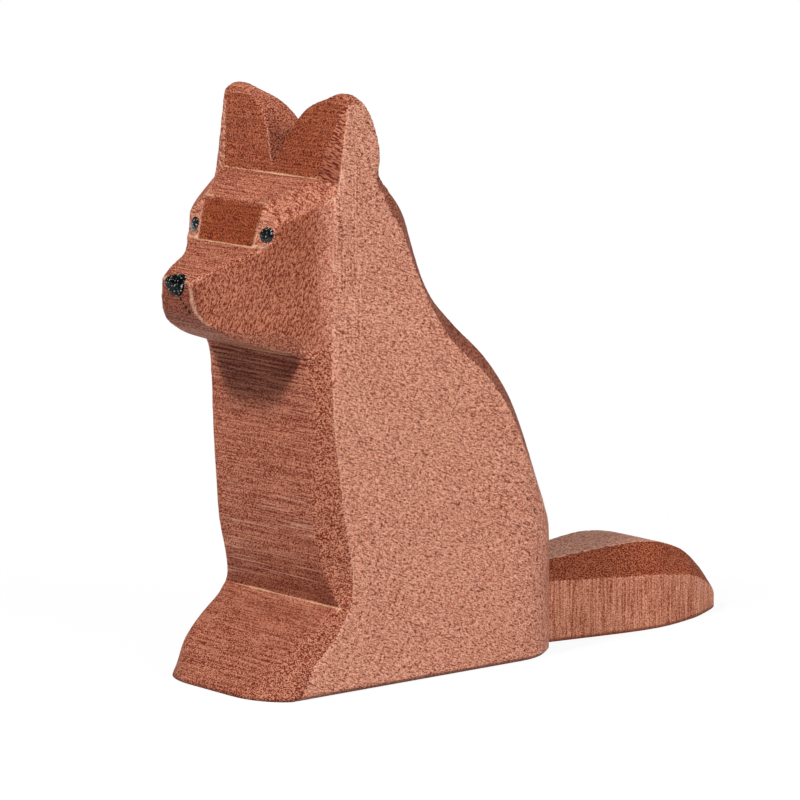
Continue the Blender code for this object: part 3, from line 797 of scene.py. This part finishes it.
def stained_wood(name, planed_colour, sawn_colour, deep_colour, fleck):
    material = bpy.data.materials.new(name)
    material.use_nodes = True
    shader = material.node_tree.nodes["Principled BSDF"]
    start = Tone(material.node_tree)
    place = start.node("TexCoord", output="Object")
    slanted, along, leaning = [start.node("Mapping", values={"Vector": place, "Rotation": turn})
                               for turn in (SLANT, GRAIN, LEAN)]
    # the fourth value of the cuts is the dusky share, painted shade included
    planed, deep, sawn, dusky = channels(start, "cuts")
    saw, knife, scratched, streaked = channels(start, "marks")
    worn, crease, rim, scored = channels(start, "edges")

    mottle = fibres(place, MOTTLE, 3)
    dots = fibres(along, DOT, 1, 0.5)
    grains = sharpened(dots, 0.12)
    dashes = fibres(along, DASH, 4, 0.75)
    flecks = fibres(along, fleck, 0).ramp(-0.15, -0.21)
    cracks = planed * fibres(along, CRACK, 1).ramp(-0.17, -0.21)
    lines = sharpened(fibres(place, SAW_LINE, 1, 0.5), 0.14)
    scores = scored * sawn * fibres(place, SCORE, 0).ramp(0.17, 0.22)
    ridges = sharpened(wavy(place, 'Z', SAW_PITCH, 2.5, 0.15), 0.35)
    strokes = sharpened(fibres(leaning, KNIFE_STROKE, 1, 0.5), 0.13)
    scratches = sharpened(fibres(slanted, SCRATCH, 1, 0.5), 0.14)
    streaks = fibres(place, STREAK, 2, 0.6)
    throat = (saw - 0.5).ramp(0, 0.5)
    speckled = (1.5 + 0.45 * deep - 0.95 * planed - 1.05 * knife
                - 0.9 * streaked * (1 - planed) - 0.55 * scratched)
    fibre = (0.5 + speckled * grains + 2.4 * planed * dashes + (0.4 - 0.15 * planed) * mottle
             + 1.6 * saw * lines + 0.9 * throat * ridges + 1.0 * knife * strokes
             + 0.7 * scratched * scratches + 2.0 * streaked * streaks)

    whittled = (1 - planed - sawn).mix(WHITE, KNIFE)
    stain = deep.mix(planed.mix(sawn_colour, planed_colour).times(whittled), deep_colour)
    dusty = (0.30 - 0.24 * deep).mix(stain.times(PALE_FIBRE), DUST)
    # the dusky share darkens the wood towards DUSK, in places as painted shade
    colour = fibre.mix(stain.times(DARK_FIBRE), dusty).times(dusky.mix(WHITE, DUSK))
    colour = ((0.35 + 0.6 * planed) * flecks + 0.8 * cracks).mix(colour, stain.times(FLECK))
    # the rim of the base darkens with painted shadow, and scored lines turn pale
    colour = (0.8 * rim).mix((0.42 * scores).mix(colour, WORN), stain.times(FLECK))
    rubbed = (worn + 0.8 * dots + 0.8 * mottle).ramp(0.3, 0.95)
    bare = (crease + 1.0 * mottle + 0.6 * dots).ramp(0.45, 1.0)
    colour = (0.75 * bare).mix((0.6 * rubbed).mix(colour, WORN), CREASE)

    links = material.node_tree.links
    links.new(colour.socket, shader.inputs["Base Color"])
    links.new((0.62 - 0.5 * dots - 0.1 * planed).socket, shader.inputs["Roughness"])
    relief = start.node("Bump", values={"Strength": 0.6, "Distance": RELIEF, "Height": fibre})
    links.new(relief.socket, shader.inputs["Normal"])
    shader.inputs["Specular IOR Level"].default_value = 0.2
    return material


print("patterns from", min(KNIFE_STROKE), "to", max(SCORE), "mm")

# %% Wood for body and tail
# on the tail the pale colour reaches only the flat top, where it is a painted sheen of the bright room
BODY_PLANED, TAIL_TOP_SHEEN = (0.775, 0.353, 0.24, 1), (1.0, 0.56, 0.42, 1)
BODY_SAWN, TAIL_SAWN = (0.43, 0.09, 0.024, 1), (0.725, 0.258, 0.132, 1)
BODY_DEEP, TAIL_DEEP = (0.295, 0.052, 0.005, 1), (0.378, 0.088, 0.029, 1)
BODY_FLECK, TAIL_FLECK = (0.28, 0.66, 0.23), (0.24, 0.40, 0.24)

body_wood = stained_wood("stained_wood", BODY_PLANED, BODY_SAWN, BODY_DEEP, BODY_FLECK)
tail_wood = stained_wood("tail_wood", TAIL_TOP_SHEEN, TAIL_SAWN, TAIL_DEEP, TAIL_FLECK)
body.data.materials.append(body_wood)
tail.data.materials.append(tail_wood)
for piece, node, slot in ((body, "body", "stained_wood"), (tail, "tail", "tail_wood")):
    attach(piece, "root")
    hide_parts(node)
print("wood nodes:", len(body_wood.node_tree.nodes))

# %% [markdown]
# ## Dabs of paint
#
# Eyes, nose and mouth are touched in with a brush: thick glossy paint that follows the wood below it.
# Each dab starts as a ball, flattened along the direction that the brush came from. Its points are
# dropped on the wood along that direction and lifted again, most in the middle, so the dab wraps round
# the edge of the muzzle as paint does. A little noise keeps the outline from being a perfect oval.

# %% Dabs of paint
UNDER = 0.08 * MM        # how far a dab's flat back sinks into the pores
BRUSH_START = 4 * MM     # height from which the points are dropped on the wood
OUTLINE_WAVES, LUMP_WAVES, LUMPS = 1.3, 2.2, 0.35
skin = BVHTree.FromObject(body, bpy.context.evaluated_depsgraph_get())


def add_dab(bm, centre, across, down, width, height, rise, wobble=0.10, squareness=0.0):
    """A flattened ball on the wood, with a wobbly outline that can be squarer at its lower end."""
    out = down.cross(across).normalized()
    made = bmesh.ops.create_uvsphere(bm, u_segments=40, v_segments=18, radius=1)["verts"]
    for vert in made:
        x, y, z = vert.co
        corner = (abs(x) ** 3 + abs(y) ** 3 + abs(z) ** 3) ** (-1 / 3)
        squarer = squareness * between(-0.3, 0.3, y) * (corner - 1)
        wander = wobble * noise.noise(Vector((x, y, 0)) * OUTLINE_WAVES + centre / MM)
        reach = 1 + squarer + wander
        spot = centre + across * (x * reach * width / 2) + down * (y * reach * height / 2)
        wood, normal, *_ = skin.ray_cast(spot + out * BRUSH_START, -out)
        lumps = 1 + LUMPS * noise.noise(Vector((x, y, z)) * LUMP_WAVES + centre / MM)
        vert.co = wood + normal * (rise * z * lumps if z > 0 else UNDER * z)


def paint_piece(name, node, bm):
    bmesh.ops.recalc_face_normals(bm, faces=bm.faces[:])
    piece = bpy.data.objects.new(name, bpy.data.meshes.new(name))
    bm.to_mesh(piece.data)
    bm.free()
    piece.data.shade_smooth()
    scene.collection.objects.link(piece)
    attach(piece, "root")
    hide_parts(node)
    return piece


print("dabs sink", UNDER, "m into the wood")

# %% Eyes and nose
SIDEWAYS = Vector((1, 0, 0))
NOSE_DOWN = Vector((0, -0.482, -0.876))
EYE_WIDTH, EYE_HEIGHT, EYE_RISE = 2.45 * MM, 2.2 * MM, 0.32 * MM
NOSE_WIDTH, NOSE_HEIGHT, NOSE_RISE = 4.4 * MM, 3.2 * MM, 0.36 * MM
NOSE_SQUARENESS = 0.35
EYE_DRIFTS = {"left_eye": 0.45 * MM, "right_eye": 0.0}   # no painter's two eyes sit quite evenly


def middle_of(node):
    low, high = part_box(node)
    return (low + high) / 2


dabs = []
for node, drift in EYE_DRIFTS.items():
    spot = middle_of(node)
    facet = body_faces.find_nearest(spot)[1]
    across = Vector((0, 0, 1)).cross(facet).normalized()
    bm = bmesh.new()
    add_dab(bm, spot + SIDEWAYS * drift, across, across.cross(facet), EYE_WIDTH, EYE_HEIGHT, EYE_RISE)
    dabs.append(paint_piece(node + "_paint", node, bm))
bm = bmesh.new()
add_dab(bm, middle_of("nose"), SIDEWAYS, NOSE_DOWN, NOSE_WIDTH, NOSE_HEIGHT, NOSE_RISE,
        squareness=NOSE_SQUARENESS)
dabs.append(paint_piece("nose_paint", "nose", bm))
print("dabs:", [piece.name for piece in dabs])

# %% Mouth stroke
MOUTH_FROM, MOUTH_TO = Vector((1.1, -36, 56.2)) * MM, Vector((2.4, -36, 54.5)) * MM
MOUTH_RISE, MOUTH_WOBBLE = 0.07 * MM, 0.3
# share of the way, width and length of each touch, in mm
TOUCHES = ((0.0, 0.46, 0.62), (0.33, 0.40, 0.36), (0.62, 0.74, 0.54), (1.0, 0.80, 0.56))

stroke_down = (MOUTH_TO - MOUTH_FROM).normalized()
stroke_across = Vector((0, -1, 0)).cross(stroke_down)
bm = bmesh.new()
for share, width, length in TOUCHES:
    spot = MOUTH_FROM.lerp(MOUTH_TO, share)
    add_dab(bm, spot, -stroke_across, stroke_down, width * MM, length * MM, MOUTH_RISE, MOUTH_WOBBLE)
mouth = paint_piece("mouth_stroke", "mouth_line", bm)
print("mouth stroke in", len(TOUCHES), "touches")

# %% [markdown]
# ## Black paint
#
# Brushed enamel is nearly black and very glossy, and what one sees of it is the room: small broken
# highlights that wander over its ripples. The ripples go into the bump. Three lamps alone would leave
# few glints on dabs this small, so a few pale specks in the colour stand for the rest. The eyes mirror
# more than the nose does. The mouth was drawn with an almost dry brush, so it has a thin olive tone, no
# specks and less gloss.

# %% Black paint
GLINT = (0.45, 0.48, 0.46, 1)
ENAMEL, OLIVE = (0.002, 0.003, 0.003, 1), (0.024, 0.017, 0.009, 1)
RIPPLE, SPECK = (0.40, 0.40, 0.32), (0.30, 0.30, 0.24)   # sizes in mm
RIPPLE_HEIGHT = 0.1 * MM
MIRRORS = (0.5, 1.0, 0.05)   # left eye, right eye and nose
MOUTH_MIRROR = 0.05


def black_paint(name, colour, gloss, mirror):
    material = bpy.data.materials.new(name)
    material.use_nodes = True
    shader = material.node_tree.nodes["Principled BSDF"]
    start = Tone(material.node_tree)
    place = start.node("TexCoord", output="Object")
    wave = fibres(place, RIPPLE, 1)
    specks = fibres(place, SPECK, 0).ramp(0.16, 0.24)
    links = material.node_tree.links
    links.new((0.85 * gloss * specks).mix(colour, GLINT).socket, shader.inputs["Base Color"])
    links.new((0.5 - 0.42 * gloss + 0.2 * wave).socket, shader.inputs["Roughness"])
    relief = start.node("Bump", values={"Strength": 0.3 + 0.7 * gloss, "Distance": RIPPLE_HEIGHT,
                                        "Height": wave})
    links.new(relief.socket, shader.inputs["Normal"])
    shader.inputs["Specular IOR Level"].default_value = mirror
    return material


for piece, mirror in zip(dabs, MIRRORS):
    piece.data.materials.append(black_paint(piece.name, ENAMEL, 1.0, mirror))
mouth.data.materials.append(black_paint(mouth.name, OLIVE, 0.0, MOUTH_MIRROR))
print("paint on", len(dabs) + 1, "pieces")

# %% [markdown]
# ## The dowel
#
# The dowel is hidden in its bore and keeps its solid. It is plain birch with fine lines along its
# length, and it takes no stain.

# %% Bare wood for the dowel
BIRCH_DARK, BIRCH_PALE = (0.50, 0.34, 0.19, 1), (0.70, 0.54, 0.36, 1)
BIRCH_LINE = (0.4, 8, 0.4)   # size in mm

bare_wood = bpy.data.materials.new("bare_wood")
bare_wood.use_nodes = True
shader = bare_wood.node_tree.nodes["Principled BSDF"]
start = Tone(bare_wood.node_tree)
lines = fibres(start.node("TexCoord", output="Object"), BIRCH_LINE)
birch = (0.5 + 2.0 * lines).mix(BIRCH_DARK, BIRCH_PALE)
bare_wood.node_tree.links.new(birch.socket, shader.inputs["Base Color"])
shader.inputs["Roughness"].default_value = 0.7
dowel = frame["nodes"]["tail_dowel"]
dowel.data.materials.clear()
dowel.data.materials.append(bare_wood)
print("dowel wood on", dowel.name)

# %% [markdown] ## Last of all The scene is brought up to date.

# %% Bring the scene up to date
bpy.context.view_layer.update()
